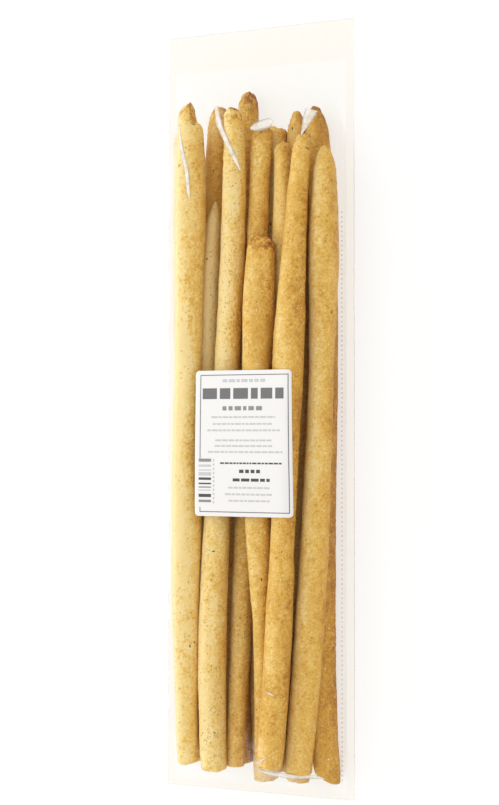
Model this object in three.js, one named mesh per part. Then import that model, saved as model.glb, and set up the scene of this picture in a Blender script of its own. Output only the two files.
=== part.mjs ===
// A clear film bag of long rosemary bread sticks, lying on its back on a table.
// The bundle has three uneven layers; the film is stretched over the top sticks and sags a little
// between them. It is welded flat along both sides, at the foot and below a header strip at the
// head. A paper label lies across the middle sticks.
// X runs across the bag, Y along it towards the header, Z up from the table. Millimetres.
import * as THREE from 'three';

// The bag
const HALF_WIDTH = 51.5;
const HALF_LENGTH = 196.5;
const WELD_HEIGHT = 13; // height of the flat welded edges above the table
const WELD_THICKNESS = 1.2;
const SIDE_WELD = 4; // width of the flat strip along each side
const FOOT_WELD = 3;
const HEADER = 20; // length of the flat strip above the head weld
const POUCH_SIDE = HALF_WIDTH - SIDE_WELD;
const POUCH_FOOT = FOOT_WELD - HALF_LENGTH;
const POUCH_HEAD = HALF_LENGTH - HEADER;
const FILM_SAG = 0.018; // how far the film dips between sticks, as 1 / (2 x its radius)
const FILM_SAG_ALONG = 0.004; // the same along the bag, where the film is pulled tight
const STEEPEST = 2.5; // the steepest that a skin falls towards a weld
const UNDERSIDE = { side: 15, head: 28, foot: 9 }; // how far the flat underside stops short of the welds

// The label
const LABEL = { width: 52.4, length: 73, centreX: 2, centreY: -17.9, corner: 1.8, thickness: 0.3 };
const LABEL_GAP = 0.7; // between the paper and the thickened film below it
const LABEL_SAG = 0.0012; // paper bends far less than film

// The sticks that carry the film. across: place at the head, at one and two thirds of the length
// and at the foot. up: height at the head and at the foot. reach: where the foot and head end.
const STICKS = [
  { across: [-34, -32, -34.5, -33.5], up: [28, 28], reach: [-182, 155], radius: 7.1 },
  { across: [-7.5, -10.5, -17.5, -19.5], up: [29.5, 29.5], reach: [-184, 152], radius: 6.6 },
  { across: [7.5, 5, 5.5, 2], up: [31, 20], reach: [-182, 87], radius: 7.4 },
  { across: [30, 23.5, 19, 11.5], up: [31.5, 31.5], reach: [-184, 139], radius: 7.2 },
  { across: [38, 36.5, 32.5, 23.5], up: [21, 20], reach: [-186, 135], radius: 7.3 },
  { across: [-40.5, -39.5, -38.5, -36.5], up: [18, 17], reach: [-183, 143], radius: 6.6 },
  { across: [-24, -27, -27, -25], up: [18.5, 16], reach: [-176, 104], radius: 6.3 },
  { across: [4, -1, -6, -10], up: [19.5, 20], reach: [-183, 143], radius: 6.1 },
  { across: [16, 16, 17, 9], up: [19, 18], reach: [-185, 135], radius: 6.7 },
  { across: [28, 33.5, 33, 35.5], up: [8, 9], reach: [-191, 152], radius: 6.9 },
  { across: [-27.5, -32, -33, -31], up: [7.5, 7.5], reach: [-180, 153], radius: 6.8 },
  { across: [-8, -12, -15, -16], up: [7.5, 7.5], reach: [-177, 161], radius: 6.9 },
  { across: [7.5, 3, 1, 3.5], up: [7.5, 7.5], reach: [-190, 144], radius: 6.8 },
  { across: [18, 17, 16, 18.5], up: [7.5, 7.5], reach: [-192, 151], radius: 6.9 },
];

// The smooth path through four places that stand evenly along a stick, a share t from its head
function bendThrough([head, upper, lower, foot], t) {
  const [past1, past2] = [3 * t - 1, 3 * t - 2];
  return (head * past1 * past2 * (1 - t) + 9 * upper * t * -past2 * (1 - t)
    + 9 * lower * t * past1 * (1 - t) + foot * t * past1 * past2) / 2;
}

// A stick's centre and radius where it crosses y, or null past its rounded ends
function stickAt(stick, y) {
  const [foot, head] = stick.reach;
  const fromEnd = Math.min(y - foot, head - y);
  if (fromEnd <= 0) return null;
  const t = (head - y) / (head - foot);
  const inset = Math.max(0, 1 - fromEnd / stick.radius);
  return {
    x: bendThrough(stick.across, t),
    z: THREE.MathUtils.lerp(stick.up[0], stick.up[1], t),
    radius: stick.radius * Math.sqrt(1 - inset * inset),
  };
}

// The top of the bundle over a point of the table, no lower than the welds
function bundleTop(x, y) {
  let top = WELD_HEIGHT;
  for (const stick of STICKS) {
    const disc = stickAt(stick, y);
    if (!disc) continue;
    const rise = disc.radius ** 2 - (x - disc.x) ** 2;
    if (rise > 0) top = Math.max(top, disc.z + Math.sqrt(rise));
  }
  return top;
}

// Evenly spaced places from a to b, both included
function span(a, b, steps) {
  return Array.from({ length: steps + 1 }, (_, i) => THREE.MathUtils.lerp(a, b, i / steps));
}

// Stretches a skin over a row of heights: it touches the high points, and between them it hangs
// like a parabola of the given sag. The parabolas' centres reach past both ends of the row, far
// enough for the skin's steepest slope.
function stretch(places, heights, sag) {
  const overhang = STEEPEST / (2 * sag);
  const centres = span(places[0] - overhang, places.at(-1) + overhang, 200);
  const crowns = centres.map((centre) =>
    Math.max(...places.map((p, i) => heights[i] - sag * (p - centre) ** 2)));
  return places.map((p) =>
    Math.min(...centres.map((centre, n) => crowns[n] + sag * (p - centre) ** 2)));
}

// Heights of a skin over the bundle: stretched across every row, then along every column
function skin(columns, rows, sagAcross, sagAlong) {
  const across = rows.map((y) => stretch(columns, columns.map((x) => bundleTop(x, y)), sagAcross));
  const along = columns.map((_, i) => stretch(rows, across.map((row) => row[i]), sagAlong));
  return (i, j) => along[i][j];
}

// A closed slab with a grid of quads above, the same below and a wall all round.
// place(i, j, upper) gives the corner in column i and row j.
function slab(columnCount, rowCount, place) {
  const positions = [];
  const indices = [];
  for (const upper of [true, false]) {
    for (let j = 0; j < rowCount; j++) {
      for (let i = 0; i < columnCount; i++) positions.push(...place(i, j, upper));
    }
  }
  const corner = (i, j, upper) => (upper ? 0 : columnCount * rowCount) + j * columnCount + i;
  const quad = (a, b, c, d) => indices.push(a, b, c, a, c, d);
  for (let j = 0; j + 1 < rowCount; j++) {
    for (let i = 0; i + 1 < columnCount; i++) {
      quad(corner(i, j, true), corner(i + 1, j, true), corner(i + 1, j + 1, true), corner(i, j + 1, true));
      quad(corner(i, j, false), corner(i, j + 1, false), corner(i + 1, j + 1, false), corner(i + 1, j, false));
    }
  }
  const rim = [];
  for (let i = 0; i + 1 < columnCount; i++) rim.push([i, 0]);
  for (let j = 0; j + 1 < rowCount; j++) rim.push([columnCount - 1, j]);
  for (let i = columnCount - 1; i > 0; i--) rim.push([i, rowCount - 1]);
  for (let j = rowCount - 1; j > 0; j--) rim.push([0, j]);
  rim.forEach((from, n) => {
    const to = rim[(n + 1) % rim.length];
    quad(corner(...from, false), corner(...to, false), corner(...to, true), corner(...from, true));
  });
  const geometry = new THREE.BufferGeometry();
  geometry.setAttribute('position', new THREE.Float32BufferAttribute(positions, 3));
  geometry.setIndex(indices);
  geometry.computeVertexNormals();
  return geometry;
}

// The bag: the pouch with its flat underside, and the welded strips round it
function makeBag() {
  const pouchColumns = span(-POUCH_SIDE, POUCH_SIDE, 38);
  const pouchRows = [
    ...span(POUCH_FOOT, POUCH_FOOT + 24, 8),
    ...span(POUCH_FOOT + 24, POUCH_HEAD - 96, 12).slice(1),
    ...span(POUCH_HEAD - 96, POUCH_HEAD, 20).slice(1),
  ];
  const film = skin(pouchColumns, pouchRows, FILM_SAG, FILM_SAG_ALONG);
  const columns = [-HALF_WIDTH, ...pouchColumns, HALF_WIDTH];
  const rows = [-HALF_LENGTH, ...pouchRows, HALF_LENGTH];

  // How high the underside curls up towards a weld that lies `reach` away from the flat
  const curl = (past, reach) => {
    const share = THREE.MathUtils.clamp(past / reach, 0, 1);
    return WELD_HEIGHT * (1 - Math.sqrt(1 - share ** 2));
  };
  const underside = (x, y) => Math.max(
    curl(Math.abs(x) - POUCH_SIDE + UNDERSIDE.side, UNDERSIDE.side),
    curl(y - POUCH_HEAD + UNDERSIDE.head, UNDERSIDE.head),
    curl(POUCH_FOOT + UNDERSIDE.foot - y, UNDERSIDE.foot),
  );
  const inPouch = (i, j) => i > 0 && i <= pouchColumns.length && j > 0 && j <= pouchRows.length;
  const place = (i, j, upper) => {
    const half = WELD_THICKNESS / 2;
    const [x, y] = [columns[i], rows[j]];
    if (upper) return [x, y, (inPouch(i, j) ? film(i - 1, j - 1) : WELD_HEIGHT) + half];
    return [x, y, Math.max(0, underside(x, y) - half)];
  };
  const material = new THREE.MeshStandardMaterial({ color: 0xd9b36a, roughness: 0.35, metalness: 0 });
  const bag = new THREE.Mesh(slab(columns.length, rows.length, place), material);
  bag.name = 'bag';
  return bag;
}

// The label: a sheet of paper with rounded corners, a hair above the film
function makeLabel() {
  const halfLength = LABEL.length / 2;
  const cornerRows = span(0, Math.PI / 2, 3).map((a) => LABEL.corner * (1 - Math.cos(a)));
  const fromFoot = [...cornerRows, ...span(LABEL.corner, LABEL.length - LABEL.corner, 14).slice(1, -1),
    ...cornerRows.map((inset) => LABEL.length - inset).reverse()];
  const rows = fromFoot.map((d) => LABEL.centreY - halfLength + d);
  const half = LABEL.width / 2;
  const reach = span(-half, half, 20);
  // The film beside and beyond the label is part of the surface that carries it
  const beside = span(half, POUCH_SIDE, 6).slice(1);
  const beyond = span(0, 60, 6).slice(1);
  const columns = [...beside.map((x) => -x).reverse(), ...reach, ...beside].map((x) => LABEL.centreX + x);
  const around = [...beyond.map((d) => rows[0] - d).reverse(), ...rows, ...beyond.map((d) => rows.at(-1) + d)];
  const sheet = skin(columns, around, LABEL_SAG, LABEL_SAG);
  const place = (i, j, upper) => {
    const fromEnd = Math.min(fromFoot[j], LABEL.length - fromFoot[j]);
    const missing = Math.max(0, LABEL.corner - fromEnd);
    const inset = LABEL.corner - Math.sqrt(LABEL.corner ** 2 - missing ** 2);
    const x = reach[i] * (1 - inset / half);
    const column = ((x + half) / LABEL.width) * (reach.length - 1);
    const left = Math.min(Math.floor(column), reach.length - 2);
    const height = (n) => sheet(n + beside.length, j + beyond.length);
    const film = THREE.MathUtils.lerp(height(left), height(left + 1), column - left) + WELD_THICKNESS / 2;
    return [LABEL.centreX + x, rows[j], film + LABEL_GAP + (upper ? LABEL.thickness : 0)];
  };
  const material = new THREE.MeshStandardMaterial({ color: 0xf4f1ee, roughness: 0.6, metalness: 0 });
  const label = new THREE.Mesh(slab(reach.length, rows.length, place), material);
  label.name = 'label';
  return label;
}

const pack = new THREE.Group();
pack.add(makeBag(), makeLabel());
export default pack;
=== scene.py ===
import math

import bpy
import numpy as np
from mathutils import Matrix, Vector


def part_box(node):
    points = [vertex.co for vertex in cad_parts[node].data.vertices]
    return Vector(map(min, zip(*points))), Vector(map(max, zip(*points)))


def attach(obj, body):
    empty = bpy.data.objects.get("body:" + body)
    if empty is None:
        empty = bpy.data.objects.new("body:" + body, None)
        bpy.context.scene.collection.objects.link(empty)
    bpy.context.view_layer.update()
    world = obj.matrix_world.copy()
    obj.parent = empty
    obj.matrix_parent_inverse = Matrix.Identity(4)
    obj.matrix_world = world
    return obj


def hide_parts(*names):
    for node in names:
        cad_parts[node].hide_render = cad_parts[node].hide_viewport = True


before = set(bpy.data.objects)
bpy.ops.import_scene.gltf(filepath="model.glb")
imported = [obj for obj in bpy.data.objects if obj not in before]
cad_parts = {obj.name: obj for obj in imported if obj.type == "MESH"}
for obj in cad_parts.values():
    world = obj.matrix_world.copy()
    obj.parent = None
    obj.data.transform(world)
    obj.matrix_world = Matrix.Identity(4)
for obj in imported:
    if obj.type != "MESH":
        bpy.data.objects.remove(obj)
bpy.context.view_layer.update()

# ------------------------------------------------------------
# The bundle. Fourteen bread sticks, stretched by hand and bagged as they come, so they lie in
# three uneven layers and lean a little to one side. Each is stiff and nearly straight; where two
# touch, they hold each other apart. Sizes are in millimetres until a mesh is made.
# ------------------------------------------------------------

MM = 0.001
GIRTH_AT = (0.0, 0.15, 0.35, 0.6, 0.8, 1.0)


def stick(number, across, up, reach, girth, head, foot, tone, specks=0.3, turn=0.0, bite=(9, 0),
          burnt=0.2, painted_lit_side=132):
    """One stick. across: its place at the head, at one and two thirds of its length and at the
    foot. up: its height at the head and foot. reach: where it starts and ends along the bag.
    girth: its radius at GIRTH_AT from head to foot. head and foot: (length of the rounded end,
    bluntness, slant of its face, lean of its tip to one side). tone: how brown it is baked.
    specks: how many dark specks it has. turn: how far its section twists along it. bite: beyond
    which place across its head is broken off, and how deep. burnt: how brown its torn head is.
    painted_lit_side: the direction of the side painted paler as if lit from the upper left, in degrees up
    from its right; the far side is painted browner, as shade."""
    return dict(name=f"stick_{number}", across=across, up=up, reach=reach, girth=girth, head=head,
                foot=foot, tone=tone, specks=specks, turn=turn, bite=bite, burnt=burnt, painted_lit_side=painted_lit_side)


sticks = [
    stick(1, (-34.2, -32.0, -32.6, -33.4), (27.5, 28), (-182, 157), (5.6, 8.6, 6.3, 7.7, 6.8, 5.2),
          head=(15, 2.2, 0.55, -1.8), foot=(4, 3.5, 0.15, 0), tone=0.06, specks=0.05, bite=(2.2, 10),
          burnt=0.5, painted_lit_side=158),
    stick(2, (-7.8, -11.4, -17.6, -18.9), (29.5, 29.5), (-184, 152.5), (5.0, 6.5, 6.3, 6.9, 7.5, 6.8),
          head=(10, 2.4, -0.1, -0.6), foot=(2.5, 4, 0.0, 0), tone=0.14, specks=1.0, burnt=0.6),
    stick(3, (8.4, 6.3, 7.6, 5.0), (31, 17), (-182, 85.5), (6.2, 8.1, 8.0, 5.6, 4.0, 2.4),
          head=(4, 3, -0.15, 0), foot=(14, 1.8, 0.0, 0), tone=0.38, specks=0.5, turn=2.2, burnt=0.5),
    stick(4, (28.8, 23.8, 20.3, 12.8), (30.5, 30.5), (-179.5, 137), (4.6, 5.7, 8.3, 6.0, 7.1, 6.7),
          head=(8, 2.4, 0.05, 0), foot=(2.5, 4, -0.12, 0), tone=0.4, specks=0.25, burnt=0.1),
    stick(5, (38.8, 36.7, 32.5, 23.2), (21, 20), (-184, 131.5), (4.8, 8.2, 6.0, 7.0, 7.5, 7.2),
          head=(15, 1.9, 0.0, 0), foot=(2.5, 4, -0.06, 0), tone=0.3, specks=0.25, burnt=0.1),
    stick(6, (-42.2, -40, -38.5, -37), (19.5, 17), (-183, 146), (4.2, 6.2, 6.2, 6.4, 6.4, 6.0),
          head=(8, 2.2, 0.0, 0), foot=(3, 4, 0.0, 0), tone=0.22),
    stick(7, (-23.0, -27, -27.5, -26), (22.5, 16), (-176, 107), (3.4, 5.4, 6.0, 6.0, 6.2, 5.4),
          head=(13, 1.6, -0.3, 0.4), foot=(3, 4, 0.0, 0), tone=0.03),
    stick(8, (4.0, -1.2, -6.2, -10.3), (19.5, 20), (-183, 142.5), (5.8, 5.8, 5.6, 5.4, 5.2, 4.4),
          head=(4, 3, 0.1, 0), foot=(2.5, 4, 0.05, 0), tone=0.33, specks=1.0, turn=0.5, burnt=0.2),
    stick(9, (16, 16.3, 15, 9.5), (19, 18), (-185, 134.5), (4.2, 6.2, 6.4, 6.6, 6.6, 6.0),
          head=(6, 2.6, 0.0, 0), foot=(3, 4, 0.0, 0), tone=0.34, burnt=0.1),
    stick(10, (27.6, 33.4, 32.2, 34.8), (8, 8.5), (-188, 154.5), (5.6, 6.6, 6.7, 6.8, 6.9, 6.6),
          head=(15, 1.8, -0.2, 0.5), foot=(2.5, 4, -0.5, 0), tone=0.5, specks=0.6, burnt=0.35),
    stick(11, (-25.4, -29.5, -32.5, -31), (7.5, 7.5), (-180, 158), (5.2, 6.6, 6.7, 6.6, 6.6, 6.0),
          head=(12, 2.3, 0.3, 0.3), foot=(3, 4, 0.0, 0), tone=0.38, burnt=0.3),
    stick(12, (-8.1, -12, -14.1, -13.2), (7.5, 7.5), (-183.5, 164.5), (5.2, 6.8, 6.8, 7.2, 7.4, 7.2),
          head=(10, 2.2, 0.0, 0), foot=(3, 4, 0.0, 0), tone=0.46, specks=1.0, burnt=0.5),
    stick(13, (7.4, 3, -0.5, 1.4), (7.5, 7.5), (-191.5, 145), (5.8, 6.8, 6.7, 6.7, 6.7, 6.0),
          head=(6, 2.8, -0.2, 0), foot=(2, 5, 0.1, 0), tone=0.3, burnt=0.1),
    stick(14, (18.5, 19.6, 18, 18.8), (7.5, 7.5), (-190.5, 152.5), (4.6, 6.8, 6.8, 6.8, 6.8, 6.2),
          head=(13, 1.8, 0.5, -0.3), foot=(2, 5, -0.1, 0), tone=0.32),
]


def smooth_step(low, high, value):
    share = np.clip((value - low) / (high - low), 0, 1)
    return share * share * (3 - 2 * share)


def end_rounding(distance, end):
    """How full a stick is at a distance from an end: a blunt end stays full for longer."""
    length, bluntness = end[:2]
    inset = np.clip(1 - distance / length, 0, 1)
    return (1 - inset ** bluntness) ** (1 / bluntness)


def radius_at(one, y):
    """The stick's radius where it crosses y, and zero past its ends."""
    foot, head = one["reach"]
    share = np.clip((head - y) / (head - foot), 0, 1)
    soft = np.stack([np.interp(np.clip(share + shift, 0, 1), GIRTH_AT, one["girth"])
                     for shift in (-0.06, -0.03, 0.0, 0.03, 0.06)]).mean(0)
    ends = (end_rounding(np.maximum(head - y, 0), one["head"])
            * end_rounding(np.maximum(y - foot, 0), one["foot"]))
    return np.where((y > foot) & (y < head), soft * ends, 0.0)


def bends(one, y):
    """The gentle bends that a stiff stick can take: powers of the place along it."""
    foot, head = one["reach"]
    share = 2 * (y - foot) / (head - foot) - 1
    return np.stack([share ** power for power in range(4)], axis=-1)


def settle(rounds=200, sink=0.012, spring=0.3, spacing=0.25, push_back=0.35, clearance=0.9):
    """Lets the bundle settle: sticks that overlap push apart, all sink towards the table, none
    leaves the place it was put in by much, and each keeps a gentle bend. spacing is left between
    two crusts, and clearance under the lowest, for their lumps."""
    y = np.arange(-190.0, 160.0, 5.0)
    radii = np.array([radius_at(one, y) for one in sticks])
    present = radii > 2
    wanted_x, wanted_z, straighten = [], [], []
    for one, here in zip(sticks, present):
        foot, head = one["reach"]
        share = (y - foot) / (head - foot)
        fixed_at = np.linspace(head, foot, len(one["across"]))
        wanted_x.append(bends(one, y) @ np.linalg.solve(bends(one, fixed_at), one["across"]))
        wanted_z.append(one["up"][1] + (one["up"][0] - one["up"][1]) * share)
        straighten.append(np.linalg.pinv(bends(one, y[here])))
    x, z = np.array(wanted_x), np.array(wanted_z)
    wanted_x = x.copy()
    pair = present[:, None] & present[None]
    pair &= ~np.eye(len(sticks), dtype=bool)[:, :, None]
    for _ in range(rounds):
        z -= sink
        dx, dz = x[:, None] - x[None], z[:, None] - z[None]
        apart = np.sqrt(dx ** 2 + dz ** 2) + 1e-6
        overlap = np.clip(radii[:, None] + radii[None] + spacing - apart, 0, None)
        push = np.where(pair, overlap, 0) * push_back
        x += (push * dx / apart).sum(1) + spring * (wanted_x - x)
        z += (push * dz / apart).sum(1)
        z = np.maximum(z, radii + clearance)
        for n, (one, here) in enumerate(zip(sticks, present)):
            one["x_bends"] = straighten[n] @ x[n][here]
            one["z_bends"] = straighten[n] @ z[n][here]
            x[n], z[n] = bends(one, y) @ one["x_bends"], bends(one, y) @ one["z_bends"]


settle()

# ------------------------------------------------------------
# The sticks. Each is a rope of dough, pulled out by hand, so its thickness wanders, its section
# is a little oval and its head is torn or pinched, while its foot is cut off square. Baking
# raises small blisters on the crust and browns the thin torn ends in patches.
# ------------------------------------------------------------

AROUND = 64
RING_STEP = 0.85
END_RINGS = 14
USUAL_RADIUS = 6.5
# how much paler the painted lit side of a crust is, and browner its painted shaded side
PAINTED_SIDE_SHADE = 0.36
NOISE_STEP = 37.7


def mesh_object(name, vertices, faces, smooth=True):
    """A new object at the origin, from vertices in metres and faces."""
    mesh = bpy.data.meshes.new(name)
    mesh.from_pydata(np.asarray(vertices, float).tolist(), [], [list(map(int, face)) for face in faces])
    mesh.validate()
    if smooth:
        mesh.shade_smooth()
    made = bpy.data.objects.new(name, mesh)
    bpy.context.scene.collection.objects.link(made)
    return made


def store(piece, name, values):
    """Keeps one number for each vertex of a piece, for its material."""
    attribute = piece.data.attributes.new(name, "FLOAT", "POINT")
    attribute.data.foreach_set("value", np.asarray(values, np.float32).ravel())


def grid_faces(rows, columns, closed):
    """Quads between the points of a grid; a closed grid joins its last column to its first."""
    j, i = np.meshgrid(np.arange(rows - 1), np.arange(columns if closed else columns - 1),
                       indexing="ij")
    after = (i + 1) % columns
    return np.stack([j * columns + i, j * columns + after,
                     (j + 1) * columns + after, (j + 1) * columns + i], -1).reshape(-1, 4)


class Tree:
    """A node tree in the making: adds nodes, and sets or links their inputs."""

    def __init__(self, tree):
        self.tree = tree

    def put(self, node, socket, value):
        if isinstance(value, bpy.types.NodeSocket):
            self.tree.links.new(value, node.inputs[socket])
        else:
            node.inputs[socket].default_value = value

    def add(self, kind, *inputs, **settings):
        """Adds a node. inputs are (socket name or number, value or socket to link)."""
        made = self.tree.nodes.new(kind)
        for key, value in settings.items():
            setattr(made, key, value)
        for socket, value in inputs:
            self.put(made, socket, value)
        return made

    def maths(self, operation, a, b=0.0, c=0.0, clamp=False):
        return self.add("ShaderNodeMath", (0, a), (1, b), (2, c), operation=operation,
                        use_clamp=clamp).outputs[0]

    def vectors(self, operation, a, b=None, scale=None):
        made = self.add("ShaderNodeVectorMath", (0, a), operation=operation)
        if b is not None:
            self.put(made, 1, b)
        if scale is not None:
            self.put(made, "Scale", scale)
        return made.outputs["Vector"]

    def spread(self, value, low, high, to_low=0.0, to_high=1.0):
        return self.add("ShaderNodeMapRange", ("Value", value), ("From Min", low), ("From Max", high),
                        ("To Min", to_low), ("To Max", to_high)).outputs[0]


def geometry_tree(name, **sizes):
    """A Geometry Nodes tree with a mesh going in and out, and one named input for each size."""
    group = bpy.data.node_groups.new(name, "GeometryNodeTree")
    group.interface.new_socket("Mesh", in_out="INPUT", socket_type="NodeSocketGeometry")
    group.interface.new_socket("Mesh", in_out="OUTPUT", socket_type="NodeSocketGeometry")
    for size, value in sizes.items():
        socket = group.interface.new_socket(size, in_out="INPUT", socket_type="NodeSocketFloat")
        socket.default_value = value
    tree = Tree(group)
    return tree, tree.add("NodeGroupInput").outputs


def run_tree(piece, tree, **sizes):
    """Runs a Geometry Nodes tree on a piece and keeps the result as the piece's plain mesh."""
    modifier = piece.modifiers.new(tree.tree.name, "NODES")
    modifier.node_group = tree.tree
    for item in tree.tree.interface.items_tree:
        if item.name in sizes:
            modifier[item.identifier] = float(sizes[item.name])
    evaluated = piece.evaluated_get(bpy.context.evaluated_depsgraph_get())
    result = bpy.data.meshes.new_from_object(evaluated)
    piece.modifiers.remove(modifier)
    result.name = piece.name
    piece.data = result
    return piece


def place_in_mm(tree, batch):
    """Where each point of a piece is, in millimetres, moved on by a batch number."""
    place = tree.vectors("SCALE", tree.add("GeometryNodeInputPosition").outputs[0], scale=1 / MM)
    moved_on = tree.add("ShaderNodeCombineXYZ", (0, batch), (1, batch), (2, batch)).outputs[0]
    return tree.vectors("ADD", place, moved_on)


def noise_in_mm(tree, place, across, along, detail=1.0):
    """Noise with blobs of a size across and along the bag, in millimetres."""
    stretched = tree.vectors("MULTIPLY", place, (1 / across, 1 / along, 1 / across))
    return tree.add("ShaderNodeTexNoise", ("Vector", stretched), ("Scale", 1.0), ("Detail", detail),
                    ("Roughness", 0.55)).outputs[0]


def crust_tree():
    """Raises lumps, dents and blisters along the normals of a stick, and tears its head."""
    tree, size = geometry_tree("crust", lump=0.5, dent=0.16, blister=0.34, tear=1.3, batch=0.0)
    place = place_in_mm(tree, size["batch"])
    lumps = tree.maths("SUBTRACT", noise_in_mm(tree, place, 9, 24), 0.5)
    dents = tree.maths("SUBTRACT", noise_in_mm(tree, place, 3.2, 5, 2.0), 0.5)
    tears = tree.maths("SUBTRACT", noise_in_mm(tree, place, 2.6, 3.4, 3.0), 0.5)
    cells = tree.add("ShaderNodeTexVoronoi", ("Vector", tree.vectors("SCALE", place, scale=1 / 2.4)),
                     ("Scale", 1.0), ("Smoothness", 0.5), feature="SMOOTH_F1").outputs["Distance"]
    dome = tree.maths("SUBTRACT", 0.55, cells, clamp=True)
    blisters = tree.maths("MULTIPLY", dome, tree.spread(noise_in_mm(tree, place, 14, 30), 0.46, 0.62))
    torn = tree.add("GeometryNodeInputNamedAttribute", ("Name", "torn"), data_type="FLOAT").outputs[0]
    height = tree.maths("MULTIPLY", lumps, size["lump"])
    height = tree.maths("MULTIPLY_ADD", dents, size["dent"], height)
    height = tree.maths("MULTIPLY_ADD", blisters, size["blister"], height)
    height = tree.maths("MULTIPLY_ADD", tree.maths("MULTIPLY", tears, torn), size["tear"], height)
    height = tree.maths("MULTIPLY", height, 2 * MM)
    normal = tree.add("GeometryNodeInputNormal").outputs[0]
    moved = tree.add("GeometryNodeSetPosition", ("Geometry", size["Mesh"]),
                     ("Offset", tree.vectors("SCALE", normal, scale=height)))
    kept = tree.add("GeometryNodeStoreNamedAttribute", ("Geometry", moved.outputs[0]),
                    ("Name", "blister"), ("Value", blisters), data_type="FLOAT", domain="POINT")
    tree.add("NodeGroupOutput", (0, kept.outputs[0]))
    return tree


def end_distances(end):
    """Distances of the rings of an end from its tip, so that they close evenly on its middle."""
    length, bluntness = end[:2]
    share = np.linspace(0, 1, END_RINGS + 1)[1:] ** (bluntness / 2)
    return length * (1 - np.cos(share * math.pi / 2) ** (2 / bluntness))


def stick_rows(one):
    """Places of the rings along a stick."""
    foot, head = one["reach"]
    foot_end, head_end = end_distances(one["foot"]), end_distances(one["head"])
    middle = np.arange(foot + foot_end[-1] + RING_STEP, head - head_end[-1], RING_STEP)
    return np.concatenate([foot + foot_end, middle, head - head_end[::-1]])


def centre_line(one, y):
    """The middle of a stick where it crosses y; its tip leans a little to one side."""
    lean = one["head"][3] * smooth_step(16, 0, one["reach"][1] - y)
    return bends(one, y) @ one["x_bends"] + lean, bends(one, y) @ one["z_bends"]


def make_stick(one, crust, number):
    y = stick_rows(one)
    foot, head = one["reach"]
    angle = np.linspace(0, 2 * math.pi, AROUND, endpoint=False)
    share = (y - foot) / (head - foot)
    radius = radius_at(one, y)
    twist = number * 1.3 + one["turn"] * math.pi * share
    oval = 0.035 + 0.05 * min(one["turn"], 1)
    around = angle[None] - twist[:, None]
    full = radius[:, None] * (1 + oval * np.cos(2 * around) + 0.4 * oval * np.cos(3 * around + number))
    centre_x, centre_z = centre_line(one, y)
    dx, dz = full * np.cos(angle), full * np.sin(angle)
    at_head, at_foot = smooth_step(14, 0, head - y)[:, None], smooth_step(10, 0, y - foot)[:, None]
    slant = one["head"][2] * at_head + one["foot"][2] * at_foot
    ragged = np.cos(2 * angle + number * 2.1) + 0.7 * np.cos(5 * angle + number * 4.7)
    notch = full / USUAL_RADIUS * ragged * (0.9 * at_head + 0.12 * at_foot)
    edge, depth = one["bite"]
    broken = depth * smooth_step(edge, edge + 1.6, dx) * at_head
    along = y[:, None] + slant * dx + notch - broken
    vertices = np.stack([centre_x[:, None] + dx, along, centre_z[:, None] + dz], -1)
    rows = len(y)
    poles = np.array([[centre_x[n], tip, centre_z[n]] for n, tip in ((0, foot), (-1, head))])
    ring = np.arange(AROUND)
    after = (ring + 1) % AROUND
    top = (rows - 1) * AROUND
    foot_fan = np.stack([ring, after, np.full(AROUND, rows * AROUND)], 1)
    head_fan = np.stack([top + after, top + ring, np.full(AROUND, rows * AROUND + 1)], 1)
    points = np.concatenate([vertices.reshape(-1, 3), poles]) * MM
    sides = grid_faces(rows, AROUND, closed=True)[:, ::-1]
    piece = mesh_object(one["name"], points, [*sides, *foot_fan, *head_fan])

    # Painted light and shade: the crust is paler on the side towards the light at the upper left and browner
    # on the far side, which also stands for the side that faced up in the oven
    pale = np.cos(angle - math.radians(one["painted_lit_side"])) * 0.5 + 0.5
    tone = np.tile(one["tone"] + PAINTED_SIDE_SHADE * (0.5 - pale), (rows, 1))
    torn = smooth_step(13, 0, head - y) + 0.25 * smooth_step(4, 0, y - foot)
    torn = np.repeat(torn[:, None], AROUND, 1)
    specks = np.full_like(tone, one["specks"])
    for name, values in (("tone", tone), ("torn", torn), ("burnt", torn * one["burnt"]), ("specks", specks)):
        store(piece, name, np.append(values.ravel(), [values[0].mean(), values[-1].mean()]))
    run_tree(piece, crust, batch=number * NOISE_STEP)

    # Where the finished crust lies, as a radius for each ring and angle, for the film to rest on
    skin = np.empty(len(piece.data.vertices) * 3)
    piece.data.vertices.foreach_get("co", skin)
    skin = skin.reshape(-1, 3)[:-2].reshape(rows, AROUND, 3) / MM
    one["rings"] = y
    one["skin"] = np.hypot(skin[..., 0] - centre_x[:, None], skin[..., 2] - centre_z[:, None])
    return piece


crust = crust_tree()
bread = [make_stick(one, crust, number) for number, one in enumerate(sticks)]


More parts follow.
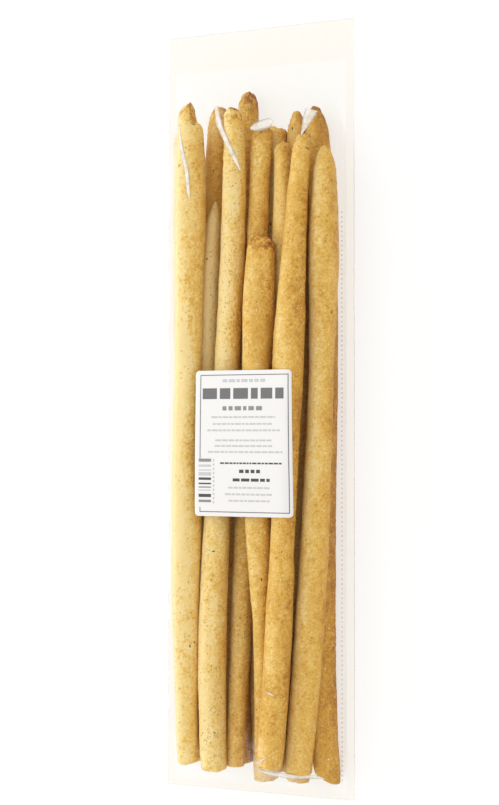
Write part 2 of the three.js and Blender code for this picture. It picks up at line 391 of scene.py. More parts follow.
class Shading(Tree):
    """A material in the making, with its shader and its place in object space."""

    def __init__(self, name):
        self.material = bpy.data.materials.new(name)
        self.material.use_nodes = True
        super().__init__(self.material.node_tree)
        self.tree.nodes.clear()
        self.place = self.add("ShaderNodeTexCoord").outputs["Object"]

    def noise(self, scale, detail=2.0, stretch=None, roughness=0.5):
        place = self.vectors("MULTIPLY", self.place, stretch) if stretch else self.place
        return self.add("ShaderNodeTexNoise", ("Vector", place), ("Scale", scale),
                        ("Detail", detail), ("Roughness", roughness)).outputs[0]

    def dots(self, scale, size, share):
        """Soft round dots: how far apart, how large, and what share of the cells has one."""
        cells = self.add("ShaderNodeTexVoronoi", ("Vector", self.place), ("Scale", scale))
        chance = self.add("ShaderNodeSeparateColor", (0, cells.outputs["Color"])).outputs[0]
        dot = self.spread(cells.outputs["Distance"], size * 0.55, size, 1.0, 0.0)
        return self.maths("MULTIPLY", dot, self.maths("LESS_THAN", chance, share))

    def ramp(self, value, *stops):
        made = self.add("ShaderNodeValToRGB", ("Fac", value))
        while len(made.color_ramp.elements) < len(stops):
            made.color_ramp.elements.new(0.5)
        for element, (place, colour) in zip(made.color_ramp.elements, stops):
            element.position = place
            element.color = (*colour, 1)
        return made.outputs[0]

    def mix(self, share, a, b, blend="MIX"):
        made = self.add("ShaderNodeMix", data_type="RGBA", blend_type=blend)
        self.put(made, 0, share)
        for socket, value in ((6, a), (7, b)):
            self.put(made, socket, (*value, 1) if isinstance(value, tuple) else value)
        return made.outputs[2]

    def bump(self, height, distance, strength=1.0):
        return self.add("ShaderNodeBump", ("Height", height), ("Distance", distance),
                        ("Strength", strength)).outputs[0]

    def attribute(self, name):
        return self.add("ShaderNodeAttribute", attribute_name=name).outputs["Fac"]

    def solid(self, colour, roughness, *more):
        return self.add("ShaderNodeBsdfPrincipled", ("Base Color", colour), ("Roughness", roughness), *more)

    def partly_clear(self, share, tint, covered):
        """Clear film with a share of it covered by another shader."""
        clear = self.add("ShaderNodeBsdfTransparent", ("Color", tint))
        return self.add("ShaderNodeMixShader", (0, share), (1, clear.outputs[0]), (2, covered.outputs[0]))

    def finish(self, shader):
        self.add("ShaderNodeOutputMaterial", ("Surface", shader.outputs[0]))
        return self.material


def crust_finish():
    """Baked crust: cream to brown with the tone of each place, browner on blisters and in
    patches of the torn ends, with dark specks of rosemary dust and pale grains of semolina."""
    shade = Shading("baked_crust")
    patches = shade.spread(shade.noise(75, 2, stretch=(1, 0.3, 1)), 0.3, 0.7, -0.1, 0.1)
    blotches = shade.spread(shade.noise(260, 3, stretch=(1, 0.7, 1)), 0.32, 0.68, -0.07, 0.08)
    crumbs = shade.spread(shade.noise(900, 3), 0.3, 0.7, -0.12, 0.12)
    dust = shade.spread(shade.noise(2400, 1), 0.3, 0.7, -0.08, 0.08)
    # the tone attribute carries each stick's bake tone with the painted side light and shade added
    tone = shade.attribute("tone")
    for unevenness in (patches, blotches, crumbs, dust):
        tone = shade.maths("ADD", tone, unevenness)
    tone = shade.maths("MULTIPLY_ADD", shade.attribute("blister"), 0.5, tone)
    browned = shade.maths("MULTIPLY", shade.attribute("burnt"), shade.spread(shade.noise(330, 3), 0.4, 0.6))
    tone = shade.maths("ADD", tone, browned)
    colour = shade.ramp(tone, (0.0, (0.88, 0.69, 0.32)), (0.12, (0.84, 0.6, 0.2)),
                        (0.24, (0.77, 0.485, 0.115)), (0.4, (0.67, 0.375, 0.062)),
                        (0.55, (0.54, 0.265, 0.036)), (0.75, (0.37, 0.14, 0.016)),
                        (1.0, (0.17, 0.05, 0.008)))
    specks = shade.maths("MULTIPLY", shade.dots(900, 0.38, 0.42), shade.spread(shade.noise(130), 0.4, 0.58))
    specks = shade.maths("MULTIPLY", specks, shade.maths("MULTIPLY", shade.attribute("specks"), 0.8))
    colour = shade.mix(specks, colour, (0.18, 0.13, 0.032))
    # painted shade: small dark brown dots for the shade inside tiny pits of the crust, which the mesh lacks
    pore_shade = shade.maths("MULTIPLY", shade.dots(480, 0.3, 0.2), 0.5)
    colour = shade.mix(pore_shade, colour, (0.34, 0.14, 0.025))
    grains = shade.spread(shade.noise(160, 3), 0.45, 0.6, 0.0, 0.6)
    grains = shade.maths("MULTIPLY", shade.dots(700, 0.36, 0.22), grains)
    colour = shade.mix(grains, colour, (0.93, 0.8, 0.5))
    height = shade.maths("MULTIPLY_ADD", shade.noise(1500, 2), 0.5, shade.noise(600, 2))
    return shade.finish(shade.solid(colour, 0.6, ("IOR", 1.35), ("Normal", shade.bump(height, 0.0005))))


crust_material = crust_finish()
for piece in bread:
    piece.data.materials.clear()
    piece.data.materials.append(crust_material)
    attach(piece, "root")

# ------------------------------------------------------------
# The flecks. Chopped rosemary leaves and coarse grains of semolina were rolled into the dough,
# so they lie half sunk in the crust of every stick, pointing every way.
# ------------------------------------------------------------


def set_out_copies(tree, points, shape, material, *more):
    """Ends a tree: a copy of a shape on each point, made real, in its material."""
    copies = tree.add("GeometryNodeInstanceOnPoints", ("Points", points.outputs[0]),
                      ("Instance", shape.outputs[0]), *more)
    real = tree.add("GeometryNodeRealizeInstances", (0, copies.outputs[0]))
    finished = tree.add("GeometryNodeSetMaterial", (0, real.outputs[0]), ("Material", material))
    tree.add("NodeGroupOutput", (0, finished.outputs[0]))
    return tree


def fleck_tree(name, material, seed):
    """Scatters small oval flecks over a crust, turned at random and half sunk in it."""
    tree, size = geometry_tree(name, per_square_cm=0.5, length=1.2, width=0.4, thickness=0.3)
    density = tree.maths("MULTIPLY", size["per_square_cm"], 10_000.0)
    points = tree.add("GeometryNodeDistributePointsOnFaces", ("Mesh", size["Mesh"]),
                      ("Density", density), ("Seed", seed))
    spin = tree.add("FunctionNodeRandomValue", (2, 0.0), (3, 2 * math.pi), ("Seed", seed + 1),
                    data_type="FLOAT").outputs[1]
    about = tree.add("ShaderNodeCombineXYZ", (2, spin)).outputs[0]
    turned = tree.add("FunctionNodeRotateRotation", (0, points.outputs["Rotation"]), (1, about),
                      rotation_space="LOCAL").outputs[0]
    grown = tree.add("FunctionNodeRandomValue", (2, 0.5), (3, 1.15), ("Seed", seed + 2),
                     data_type="FLOAT").outputs[1]
    lump = tree.add("GeometryNodeMeshIcoSphere", ("Radius", 0.5 * MM), ("Subdivisions", 1))
    shape = tree.add("ShaderNodeCombineXYZ", (0, size["length"]), (1, size["width"]), (2, size["thickness"]))
    fleck = tree.add("GeometryNodeTransform", ("Geometry", lump.outputs[0]), ("Scale", shape.outputs[0]))
    return set_out_copies(tree, points, fleck, material, ("Rotation", turned), ("Scale", grown))


def all_crusts(name):
    """One mesh of all the sticks, for a tree to scatter over."""
    vertices, faces = [], []
    for piece in bread:
        start = len(vertices)
        vertices += [vertex.co[:] for vertex in piece.data.vertices]
        faces += [[start + corner for corner in face.vertices] for face in piece.data.polygons]
    return mesh_object(name, vertices, faces, smooth=False)


def plain_fleck(name, light, dark, roughness):
    shade = Shading(name)
    colour = shade.mix(shade.spread(shade.noise(420, 2), 0.35, 0.65), light, dark)
    return shade.finish(shade.solid(colour, roughness))


rosemary = run_tree(all_crusts("rosemary"), fleck_tree("rosemary_scatter", plain_fleck(
    "dried_rosemary", (0.1, 0.075, 0.022), (0.035, 0.028, 0.01), 0.7), seed=7),
    per_square_cm=0.13, length=1.9, width=0.75, thickness=0.4)
grains = run_tree(all_crusts("semolina"), fleck_tree("semolina_scatter", plain_fleck(
    "semolina_grain", (0.93, 0.8, 0.5), (0.85, 0.66, 0.32), 0.6), seed=23),
    per_square_cm=1.6, length=0.62, width=0.5, thickness=0.34)
for piece in (rosemary, grains):
    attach(piece, "root")

# ------------------------------------------------------------
# The film bag. Two sheets of clear polypropylene, welded to each other along both sides, at the
# foot and across the head, where a header strip stands above the weld. The film is stretched
# over the bundle, hangs straight from stick to stick and wrinkles where it runs out to a weld.
# ------------------------------------------------------------

HALF_WIDTH = 51.5
HALF_LENGTH = 196.5
POUCH_SIDE = HALF_WIDTH - 4.0
POUCH_FOOT = -HALF_LENGTH + 3.0
POUCH_HEAD = HALF_LENGTH - 20.0
WELD_HEIGHT = 13.0
FILM_GAP = 0.12
FILM_FLOOR = 0.1
LAYER_LIFT = 0.03
ABOVE_BUNDLE = 44.0
HEADER_SLANT = 1.5
# Columns, rows and rounds of stretching, from coarse to fine
FILM_LEVELS = ((34, 84, 420), (68, 168, 160), (120, 300, 60))


def film_rows(count):
    """Places of the film's rows along the bag, closer together towards the two ends."""
    share = np.linspace(-1, 1, count)
    eased = 0.75 * share + 0.25 * share ** 3
    return POUCH_FOOT + (POUCH_HEAD - POUCH_FOOT) * (eased + 1) / 2


def press_out(x, z, y_rows):
    """Moves film points that are inside a stick out to its crust, and keeps them off the table.
    Gives back how near each point is to a crust, from 0, free, to 1, touching."""
    near = np.zeros_like(x)
    for one in sticks:
        rings = one["rings"]
        inside = (y_rows > rings[0]) & (y_rows < rings[-1])
        y = y_rows[inside]
        centre_x, centre_z = centre_line(one, y)
        dx, dz = x[inside] - centre_x[:, None], z[inside] - centre_z[:, None]
        apart = np.hypot(dx, dz) + 1e-9
        ring = np.interp(y, rings, np.arange(len(rings)))
        low = np.minimum(ring.astype(int), len(rings) - 2)
        part = (ring - low)[:, None]
        turn = (np.arctan2(dz, dx) / (2 * math.pi) * AROUND) % AROUND
        left = turn.astype(int) % AROUND
        right = (left + 1) % AROUND
        share = turn - np.floor(turn)
        rows = low[:, None]
        skin = ((1 - part) * ((1 - share) * one["skin"][rows, left] + share * one["skin"][rows, right])
                + part * ((1 - share) * one["skin"][rows + 1, left] + share * one["skin"][rows + 1, right]))
        out = np.where(apart < skin + FILM_GAP, (skin + FILM_GAP) / apart, 1.0)
        x[inside] = centre_x[:, None] + dx * out
        z[inside] = centre_z[:, None] + dz * out
        near[inside] = np.maximum(near[inside], smooth_step(1.6, 0.2, apart - skin))
    np.maximum(z, FILM_FLOOR, out=z)
    return near


def hold_rim(x, z):
    """Holds the rim of a sheet where it is welded."""
    x[:, 0], x[:, -1] = -POUCH_SIDE, POUCH_SIDE
    x[[0, -1]] = np.linspace(-POUCH_SIDE, POUCH_SIDE, x.shape[1])
    z[:, 0] = z[:, -1] = z[0] = z[-1] = WELD_HEIGHT


def stretch_film(side):
    """One sheet of the pouch, from weld to weld: first coarse, then fine. side is 1 for the
    front sheet and -1 for the back one."""
    x = z = None
    for columns, rows, rounds in FILM_LEVELS:
        y = film_rows(rows)
        if x is None:
            x = np.tile(np.linspace(-POUCH_SIDE, POUCH_SIDE, columns), (rows, 1))
            z = np.full((rows, columns), ABOVE_BUNDLE if side > 0 else FILM_FLOOR)
        else:
            old_y, old_u = film_rows(x.shape[0]), np.linspace(0, 1, x.shape[1])
            u = np.linspace(0, 1, columns)
            across = [np.stack([np.interp(u, old_u, row) for row in grid]) for grid in (x, z)]
            x, z = [np.stack([np.interp(y, old_y, column) for column in grid.T], 1) for grid in across]
        for _ in range(rounds):
            hold_rim(x, z)
            for grid in (x, z):
                beside = (grid[1:-1, :-2] + grid[1:-1, 2:]) / 2
                along = (grid[:-2, 1:-1] + grid[2:, 1:-1]) / 2
                grid[1:-1, 1:-1] += 0.9 * (0.7 * beside + 0.3 * along - grid[1:-1, 1:-1])
            near = press_out(x, z, y)
    hold_rim(x, z)
    return x, z, y, near


def with_welds(x, z, y, near, layer):
    """Adds the flat welded strips round a sheet of the pouch. layer keeps the two sheets a film's
    thickness apart, except along the very edge, where they are one. Gives back the points, how
    near each is to a crust, and how much of a weld it is."""
    out = np.linspace(0, 1, 7)[1:]
    side = POUCH_SIDE + (HALF_WIDTH - POUCH_SIDE) * out
    rows, columns = x.shape
    x = np.concatenate([np.tile(-side[::-1], (rows, 1)), x, np.tile(side, (rows, 1))], 1)
    z, near = [np.pad(grid, ((0, 0), (len(out), len(out))), constant_values=flat)
               for grid, flat in ((z, WELD_HEIGHT), (near, 0))]
    head = np.linspace(POUCH_HEAD, HALF_LENGTH, 41)[1:]
    foot = np.linspace(-HALF_LENGTH, POUCH_FOOT, 7)[:-1]
    y = np.concatenate([foot, y, head])
    x = np.concatenate([np.tile(x[0], (len(foot), 1)), x, np.tile(x[-1], (len(head), 1))])
    z, near = [np.pad(grid, ((len(foot), len(head)), (0, 0)), constant_values=flat)
               for grid, flat in ((z, WELD_HEIGHT), (near, 0))]
    at_ends = np.maximum(smooth_step(POUCH_HEAD - 1, POUCH_HEAD + 0.5, y),
                         smooth_step(POUCH_FOOT + 1, POUCH_FOOT - 0.5, y))
    weld = np.maximum(smooth_step(POUCH_SIDE - 1, POUCH_SIDE + 0.5, abs(x)), at_ends[:, None])
    edge = np.ones_like(z)
    edge[1:-1, 1:-1] = 0
    y = np.tile(y[:, None], (1, x.shape[1]))
    slant = HEADER_SLANT * (x / HALF_WIDTH - 1) / 2 * smooth_step(POUCH_HEAD, HALF_LENGTH, y)
    return np.stack([x, y + slant, z + np.where(edge > 0, 0, layer)], -1), near, weld


def wrinkle_tree():
    """Lifts and lowers free film in long narrow wrinkles; both sheets of a weld move together."""
    tree, size = geometry_tree("film_wrinkles", wrinkle=1.0, ripple=0.35, batch=4.0)
    flat = tree.vectors("MULTIPLY", place_in_mm(tree, 0.0), (1.0, 1.0, 0.0))
    flat = tree.vectors("ADD", flat, tree.add("ShaderNodeCombineXYZ", (0, size["batch"])).outputs[0])
    slack = tree.add("GeometryNodeInputNamedAttribute", ("Name", "slack"), data_type="FLOAT").outputs[0]
    long_ones = tree.maths("SUBTRACT", noise_in_mm(tree, flat, 3.4, 46, 2.0), 0.5)
    ridges = tree.maths("SUBTRACT", 0.16, tree.maths("ABSOLUTE", long_ones))
    ripples = tree.maths("SUBTRACT", noise_in_mm(tree, flat, 12, 9, 1.0), 0.5)
    height = tree.maths("MULTIPLY", ridges, size["wrinkle"])
    height = tree.maths("MULTIPLY_ADD", ripples, size["ripple"], height)
    height = tree.maths("MULTIPLY", tree.maths("MULTIPLY", height, slack), 2 * MM)
    moved = tree.add("GeometryNodeSetPosition", ("Geometry", size["Mesh"]),
                     ("Offset", tree.add("ShaderNodeCombineXYZ", (2, height)).outputs[0]))
    tree.add("NodeGroupOutput", (0, moved.outputs[0]))
    return tree


def make_film():
    sheets = [with_welds(*stretch_film(side), layer=LAYER_LIFT * side) for side in (1, -1)]
    rows, columns = sheets[0][0].shape[:2]
    front = np.arange(rows * columns).reshape(rows, columns)
    back = front + rows * columns
    for edge in (np.s_[0, :], np.s_[-1, :], np.s_[:, 0], np.s_[:, -1]):
        back[edge] = front[edge]
    upper = grid_faces(rows, columns, closed=False)
    lower = back.ravel()[upper[:, [0, 3, 2, 1]]]
    used, faces = np.unique(np.concatenate([upper, lower]), return_inverse=True)
    points, near, weld = [np.concatenate([sheet[n].reshape(rows * columns, -1) for sheet in sheets])[used]
                          for n in range(3)]
    piece = mesh_object("bag_film", points * MM, faces.reshape(-1, 4))
    # Film is slack where no stick holds it and it doesn't lie on the table
    low = smooth_step(8.0, WELD_HEIGHT - 0.5, points[:, 2])
    store(piece, "slack", (1 - near[:, 0]) * low)
    store(piece, "weld", weld[:, 0])
    run_tree(piece, wrinkle_tree())
    return piece, sheets[0][0]


film, film_front = make_film()


def film_finish():
    """Clear film: what lies behind shows through it, a little warmed where two layers are welded,
    under the gloss of its surface, which grows towards grazing angles."""
    shade = Shading("clear_film")
    facing = shade.add("ShaderNodeLayerWeight", ("Blend", 0.5)).outputs["Facing"]
    gloss = shade.spread(shade.maths("POWER", facing, 3.0), 0.0, 1.0, 0.004, 0.6)
    ripples = shade.noise(60, 2, stretch=(1, 0.25, 1))
    across = shade.add("ShaderNodeSeparateXYZ", (0, shade.place)).outputs["Y"]
    crimps = shade.maths("SINE", shade.maths("MULTIPLY", across, 2 * math.pi / (1.1 * MM)))
    crimped = shade.maths("MULTIPLY", crimps, shade.attribute("weld"))
    normal = shade.bump(shade.maths("MULTIPLY_ADD", crimped, 0.04, ripples), 0.0007)
    tint = shade.mix(shade.attribute("weld"), (0.988, 0.984, 0.97), (0.985, 0.972, 0.945))
    shine = shade.add("ShaderNodeBsdfGlossy", ("Color", (1, 1, 1, 1)), ("Roughness", 0.12),
                      ("Normal", normal))
    return shade.finish(shade.partly_clear(gloss, tint, shine))


film.data.materials.clear()
film.data.materials.append(film_finish())
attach(film, "root")
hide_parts("bag")

# ------------------------------------------------------------
# The folds, with painted highlights. Where the bag was filled and gripped, the film has doubled over
# into narrow pleats, which are painted white, partly for the film stretched white along a fold and partly
# as painted highlights and glints: over the heads of the sticks, down the left stick, along the feet
# and in two small glints low on the bag.
# ------------------------------------------------------------

# The run of each fold and painted highlight as places on the bag, (across, along), with its half
# width there; the last two runs are painted glints only
FOLDS_AND_HIGHLIGHTS = [
    [(-19.3, 155, 0.9), (-15.8, 145.9, 1.8), (-9.8, 134.8, 1.3), (-4.6, 124.4, 0.9), (-2.2, 119.3, 0.12)],
    [(-38.2, 146.8, 0.2), (-35, 131.9, 0.9), (-31.7, 121.3, 1.0), (-30.3, 111, 0.9), (-29.5, 105.8, 0.15)],
    [(31.2, 150.4, 3.4), (29.8, 145, 2.4), (29, 139.5, 1.1), (28.8, 136, 0.15)],
    [(1.4, 141.2, 0.5), (3.8, 141.9, 2.4), (7.2, 143, 3.0), (10.6, 144.2, 2.8), (12.4, 144.8, 0.7)],
    [(4.6, -181.6, 0.3), (10.4, -183.4, 1.8), (19, -184.4, 1.8), (27, -184.8, 1.5), (33, -185.6, 0.9),
     (36, -186.4, 0.2)],
    [(13.6, -140.4, 0.1), (16, -141.3, 0.5), (18.6, -142.6, 0.15)],
    [(7.4, -176.8, 0.15), (10.5, -175.4, 0.65), (13.4, -173.6, 0.2)],
]
FOLD_STEP = 0.7
# A pleat's section: places across it as shares of its half width, and heights above the film
PLEAT = ((-1, 0.1), (-0.4, 0.17), (0.25, 0.2), (1, 0.1), (0.2, 0.04), (-0.4, 0.04))


def film_line(y):
    """The front sheet where it crosses y: places across the bag, in order, and their heights."""
    line = film_front[int(np.argmin(abs(film_front[:, 0, 1] - y)))]
    line = line[np.argsort(line[:, 0])]
    return line[:, 0], line[:, 2]


def film_top(x, y):
    """Height of the front sheet over points of the table."""
    return np.array([np.interp(one_x, *film_line(one_y)) for one_x, one_y in zip(x, y)])


def make_fold_and_highlight(run):
    """A pleat with its painted highlight: a low ridge of doubled film along its run, pressed flat at
    both sides, painted white where the film shines.
    """
    run = np.array(run, float)
    length = np.append(0, np.cumsum(np.hypot(*np.diff(run[:, :2], axis=0).T)))
    places = np.linspace(0, length[-1], max(6, int(length[-1] / FOLD_STEP)))
    x, y, half = [np.interp(places, length, column) for column in run.T]
    ahead = np.stack([np.gradient(x), np.gradient(y)], 1)
    ahead /= np.linalg.norm(ahead, axis=1, keepdims=True)
    beside = np.stack([ahead[:, 1], -ahead[:, 0]], 1)
    rows = []
    for share, lift in PLEAT:
        at = np.stack([x, y], 1) + beside * (half * share)[:, None]
        height = np.convolve(np.pad(film_top(*at.T), 3, mode="edge"), np.full(7, 1 / 7), "valid")
        rows.append(np.column_stack([at, height + lift]))
    points = np.stack(rows, 1)
    count, around = points.shape[:2]
    last = (count - 1) * around
    caps = [np.arange(around)[::-1].tolist(), (last + np.arange(around)).tolist()]
    return points.reshape(-1, 3), [*grid_faces(count, around, closed=True).tolist(), *caps]


def make_folds_and_highlights():
    vertices, faces = [], []
    for run in FOLDS_AND_HIGHLIGHTS:
        points, sides = make_fold_and_highlight(run)
        faces += [[corner + len(vertices) for corner in side] for side in sides]
        vertices += points.tolist()
    return mesh_object("bag_folds_and_highlights", np.array(vertices) * MM, faces)


def fold_and_highlight_finish():
    """Creased film with a painted highlight: white along the fold, partly film stretched white and
    partly a painted highlight of its shine, still half clear.
    """
    shade = Shading("creased_film")
    # painted highlight: a pale cream surface, mixed into the clear film in patches, stands for its shine
    white = shade.solid((0.98, 0.95, 0.89, 1), 0.5)
    highlight_share = shade.spread(shade.noise(300, 2), 0.3, 0.7, 0.4, 0.75)
    return shade.finish(shade.partly_clear(highlight_share, (0.97, 0.96, 0.94, 1), white))


folds_and_highlights = make_folds_and_highlights()
folds_and_highlights.data.materials.append(fold_and_highlight_finish())
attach(folds_and_highlights, "root")

# ------------------------------------------------------------
# The row of tiny holes. A wheel of hot needles ran along the right side of the film, to let out
# the air; each hole has a raised, melted rim.
# ------------------------------------------------------------

# Where the row starts, near the foot of the right side
NEEDLE_START = (44.7 * MM, -187 * MM, WELD_HEIGHT * MM)


def needle_tree(material):
    """A straight row of small rings, evenly spaced."""
    tree, size = geometry_tree("needle_holes", pitch=2.4, count=120.0, reach=0.34, bead=0.09)
    count = tree.add("FunctionNodeFloatToInt", (0, size["count"])).outputs[0]
    step = tree.add("ShaderNodeCombineXYZ", (1, tree.maths("MULTIPLY", size["pitch"], MM))).outputs[0]
    row = tree.add("GeometryNodeMeshLine", ("Count", count), ("Offset", step))
    rim, bead = [tree.add("GeometryNodeCurvePrimitiveCircle", ("Resolution", corners),
                          ("Radius", tree.maths("MULTIPLY", size[radius], MM))).outputs[0]
                 for corners, radius in ((8, "reach"), (4, "bead"))]
    ring = tree.add("GeometryNodeCurveToMesh", ("Curve", rim), ("Profile Curve", bead))
    placed = tree.add("GeometryNodeSetPosition", ("Geometry", row.outputs[0]), ("Offset", NEEDLE_START))
    return set_out_copies(tree, placed, ring, material)


def bead_finish():
    shade = Shading("melted_rim")
    melted = shade.solid((0.62, 0.58, 0.52, 1), 0.3)
    return shade.finish(shade.partly_clear(0.5, (0.9, 0.88, 0.84, 1), melted))


holes = run_tree(mesh_object("needle_holes", [(0, 0, 0)], []), needle_tree(bead_finish()))
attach(holes, "root")

# ------------------------------------------------------------
# The label. A rectangle of white paper with rounded corners, stuck to the front of the bag over
# the middle sticks. Paper bends less than film, so it bridges the dips between them.
# ------------------------------------------------------------

LABEL_LOW, LABEL_HIGH = [np.array(corner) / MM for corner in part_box("label")]
LABEL_CORNER = 1.8
PAPER_STIFFNESS = 0.0012
PAPER_LIFT = 0.16
PAPER_GAP = 0.3
PAPER_MARGIN = 14


def paper_height(columns, rows):
    """The film's top under the label, bridged by the stiffness of the paper."""
    top = []
    for y in rows:
        line_x, line_z = film_line(y)
        top.append([line_z[abs(line_x - x) < 1.2].max(initial=WELD_HEIGHT) for x in columns])
    top = np.array(top)
    for places in (columns, rows):
        centres = np.linspace(places[0] - 200, places[-1] + 200, 400)
        fall = PAPER_STIFFNESS * (centres[:, None] - places) ** 2
        crowns = (top[:, None, :] - fall).max(2)
        top = (crowns[:, :, None] + fall).min(1).T
    return top + PAPER_GAP


PAPER_X = np.linspace(LABEL_LOW[0] - PAPER_MARGIN, LABEL_HIGH[0] + PAPER_MARGIN, 84)
PAPER_Y = np.linspace(LABEL_LOW[1] - PAPER_MARGIN, LABEL_HIGH[1] + PAPER_MARGIN, 100)
PAPER_Z = paper_height(PAPER_X, PAPER_Y)


def on_paper(x, y, lift):
    """Points that lie on the label, a lift above its underside."""
    i = np.clip(np.interp(x, PAPER_X, np.arange(len(PAPER_X))), 0, len(PAPER_X) - 1.001)
    j = np.clip(np.interp(y, PAPER_Y, np.arange(len(PAPER_Y))), 0, len(PAPER_Y) - 1.001)
    left, low = i.astype(int), j.astype(int)
    a, b = i - left, j - low
    z = ((1 - b) * ((1 - a) * PAPER_Z[low, left] + a * PAPER_Z[low, left + 1])
         + b * ((1 - a) * PAPER_Z[low + 1, left] + a * PAPER_Z[low + 1, left + 1]))
    return np.stack([x, y, z + lift], -1)


def paper_patch(x, y, lifts):
    """A thin closed plate that follows the paper, from a grid of places on it."""
    rows, columns = x.shape
    points = np.concatenate([on_paper(x, y, lift).reshape(-1, 3) for lift in lifts])
    base = np.arange(rows * columns).reshape(rows, columns)
    top = base + rows * columns
    quads = grid_faces(rows, columns, closed=False)
    faces = [quads + rows * columns, quads[:, ::-1]]
    for rim in ((top[0, :], base[0, :]), (top[:, -1], base[:, -1]),
                (top[-1, ::-1], base[-1, ::-1]), (top[::-1, 0], base[::-1, 0])):
        faces.append(np.stack([rim[1][:-1], rim[1][1:], rim[0][1:], rim[0][:-1]], 1))
    return points, np.concatenate(faces)


def make_label():
    width, length = (LABEL_HIGH - LABEL_LOW)[:2]
    middle = (LABEL_LOW + LABEL_HIGH)[0] / 2
    rounded = LABEL_CORNER * (1 - np.cos(np.linspace(0, math.pi / 2, 6)))
    straight = np.linspace(LABEL_CORNER, length - LABEL_CORNER, 62)[1:-1]
    v = np.concatenate([rounded, straight, length - rounded[::-1]])
    missing = np.maximum(0, LABEL_CORNER - np.minimum(v, length - v))
    inset = LABEL_CORNER - np.sqrt(LABEL_CORNER ** 2 - missing ** 2)
    x = middle + np.linspace(-0.5, 0.5, 48)[None] * (width - 2 * inset[:, None])
    y = np.repeat((LABEL_LOW[1] + v)[:, None], x.shape[1], 1)
    points, faces = paper_patch(x, y, (0.0, PAPER_LIFT))
    return mesh_object("label_paper", points * MM, faces)


def paper_finish():
    """Smooth white label paper with a faint tooth."""
    shade = Shading("label_paper")
    colour = shade.mix(shade.noise(30, 2), (0.83, 0.81, 0.79), (0.79, 0.77, 0.75))
    tooth = shade.bump(shade.noise(2500, 2), 0.00004)
    return shade.finish(shade.solid(colour, 0.6, ("Normal", tooth)))


label = make_label()
label.data.materials.append(paper_finish())
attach(label, "root")
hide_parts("label")

# ------------------------------------------------------------
# The print on the label: a thin frame, a row of heavy blocks at the top, rows of short bars
# for the small print and a ladder of bars at the lower left. All of it is plain grey ink, from a
# ribbon printer, and none of it can be read.
# ------------------------------------------------------------

INK_LIFT = 0.05
FRAME_IN = dict(left=2.6, right=1.4, top=2.1, foot=2.0)
FRAME_LINE = 0.42
# Rows of small print: middle from the label's left, width, and place from its top
SMALL_PRINT = ((26.5, 35, 23.4), (26.2, 33, 26.8), (26.6, 39.7, 30.0),
               (26.5, 30.6, 35.0), (26.5, 31.3, 37.8), (27.4, 40.5, 40.8),
               (29.5, 22.6, 58.6), (29.2, 25.3, 61.9), (29.6, 22.2, 65.1))
LADDER_TOP, LADDER_FOOT = 44.2, 65


def ink_bar(x0, x1, y0, y1):
    """One bar of ink, as a thin plate. Places are from the label's top left corner."""
    across = np.linspace(x0, x1, max(2, int((x1 - x0) / 1.2) + 2))
    down = np.linspace(y1, y0, max(2, int((y1 - y0) / 1.5) + 2))
    x, y = np.meshgrid(LABEL_LOW[0] + across, LABEL_HIGH[1] - down)
    return paper_patch(x, y, (PAPER_LIFT - 0.02, PAPER_LIFT + INK_LIFT))


def word_row(middle, width, y, height, usual, seed, gap=0.55):
    """A centred row of bars of uneven length, usual being the usual one. gap: the space between
    them, as a share of height."""
    draw = np.random.default_rng(seed)
    bars, x = [], middle - width / 2
    while x < middle + width / 2 - 0.8:
        length = min(draw.uniform(0.6, 1.5) * usual, middle + width / 2 - x)
        bars.append(ink_bar(x, x + length, y - height / 2, y + height / 2))
        x += length + height * gap
    return bars


def print_layer(name, shade_of_grey, patches):
    vertices, faces = [], []
    for points, sides in patches:
        faces += (sides + len(vertices)).tolist()
        vertices += points.tolist()
    piece = mesh_object(name, np.array(vertices) * MM, faces, smooth=False)
    shade = Shading(name)
    worn = shade.mix(shade.noise(900, 2), (shade_of_grey,) * 3, (shade_of_grey * 1.25,) * 3)
    piece.data.materials.append(shade.finish(shade.solid(worn, 0.5)))
    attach(piece, "root")


width, length = (LABEL_HIGH - LABEL_LOW)[:2]
x0, x1 = FRAME_IN["left"], width - FRAME_IN["right"]
y0, y1 = FRAME_IN["top"], length - FRAME_IN["foot"]
frame_bars = [ink_bar(x0, x1, y0, y0 + FRAME_LINE), ink_bar(x0, x1, y1 - FRAME_LINE, y1),
              ink_bar(x1 - FRAME_LINE, x1, y0, y1),
              ink_bar(x0, x0 + FRAME_LINE, y0, 44.0), ink_bar(x0, x0 + FRAME_LINE, 68.5, y1)]
frame_bars += word_row(26.2, 44.5, 11.6, 5.4, 5.5, 4, gap=0.3)
strong = [*word_row(30.6, 33.4, 46.4, 0.8, 1.6, 5), *word_row(30.6, 12.6, 50.4, 1.7, 2.2, 6),
          *word_row(30.8, 20, 54.7, 1.5, 3.2, 7)]
middling = word_row(26, 21.8, 19.0, 2.1, 2.6, 2)
faint = word_row(26.8, 23.4, 5.2, 1.5, 2.4, 1)
for n, (middle, wide, y) in enumerate(SMALL_PRINT):
    faint += word_row(middle, wide, y, 0.9, 2.3, 10 + n)
draw = np.random.default_rng(31)
y = LADDER_TOP
while y < LADDER_FOOT:
    thick = draw.uniform(0.5, 1.7)
    (faint, middling, strong)[draw.integers(3)].append(ink_bar(2.1, 8.9, y, y + thick))
    y += thick + draw.uniform(0.6, 1.8)
faint += [ink_bar(9.9, 10.7, y, y + 1.1) for y in np.arange(44.5, 67.0, 2.1)]
print_layer("print_frame", 0.13, frame_bars)
print_layer("print_strong", 0.05, strong)
print_layer("print_middling", 0.22, middling)
print_layer("print_faint", 0.48, faint)

# ------------------------------------------------------------
# The floor, the light and the camera. The pack lies on a pale floor that glows a little, so that
# its shadow stays faint, with a broad soft light at its upper left, a low panel at its left that
# shines in the film, and a pale room around. The camera looks down on it, from its right.
# ------------------------------------------------------------


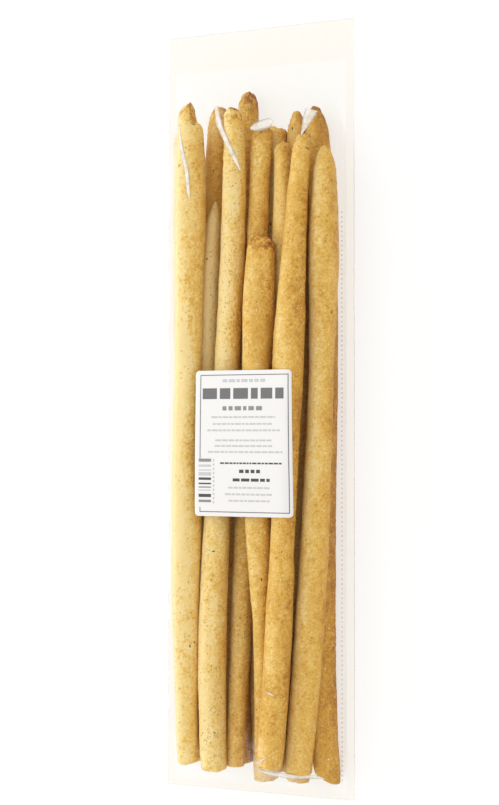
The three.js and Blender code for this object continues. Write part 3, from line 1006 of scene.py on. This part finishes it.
def make_floor():
    half = 3.0
    floor = mesh_object("floor", [(-half, -half, 0), (half, -half, 0), (half, half, 0), (-half, half, 0)],
                        [(0, 1, 2, 3)], smooth=False)
    shade = Shading("pale_floor")
    plain = shade.add("ShaderNodeBsdfDiffuse", ("Color", (0.27, 0.27, 0.268, 1)))
    glow = shade.add("ShaderNodeEmission", ("Color", (1, 0.995, 0.985, 1)), ("Strength", 0.74))
    glowing = shade.add("ShaderNodeAddShader", (0, plain.outputs[0]), (1, glow.outputs[0]))
    floor.data.materials.append(shade.finish(glowing))


def soft_light(name, place, size, power):
    light = bpy.data.lights.new(name, "AREA")
    light.shape = "RECTANGLE"
    light.size, light.size_y = size
    light.energy = power
    lamp = bpy.data.objects.new(name, light)
    lamp.location = place
    lamp.rotation_euler = (-Vector(place)).to_track_quat("-Z", "Y").to_euler()
    bpy.context.scene.collection.objects.link(lamp)


def make_camera():
    turn = math.radians(22)
    distance = 0.825
    middle = Vector((0.0015, 0.0, 0.019))
    right = Vector((math.cos(turn), 0, -math.sin(turn)))
    aim = middle - 0.0043 * right + Vector((0, 0.0028, 0))
    data = bpy.data.cameras.new("camera")
    data.lens = 72.3
    data.clip_start = 0.01
    camera = bpy.data.objects.new("camera", data)
    eye = middle + Vector((math.sin(turn), 0, math.cos(turn))) * distance + Vector((0, -0.011, 0))
    ahead = (aim - eye).normalized()
    across = ahead.cross(Vector((0, 1, 0))).normalized()
    turned = Matrix((across, across.cross(ahead), -ahead)).transposed()
    camera.matrix_world = Matrix.Translation(eye) @ turned.to_4x4()
    bpy.context.scene.collection.objects.link(camera)
    bpy.context.scene.camera = camera


make_floor()
soft_light("key", (-1.05, 0.25, 1.0), (1.5, 2.0), 4.8)
soft_light("panel", (-1.15, 0.0, 0.28), (2.2, 0.5), 5.0)
world = bpy.data.worlds.new("pale_room")
world.use_nodes = True
world.node_tree.nodes["Background"].inputs["Color"].default_value = (1, 1, 1, 1)
world.node_tree.nodes["Background"].inputs["Strength"].default_value = 1.0
bpy.context.scene.world = world
bpy.context.scene.view_settings.view_transform = "Standard"
make_camera()
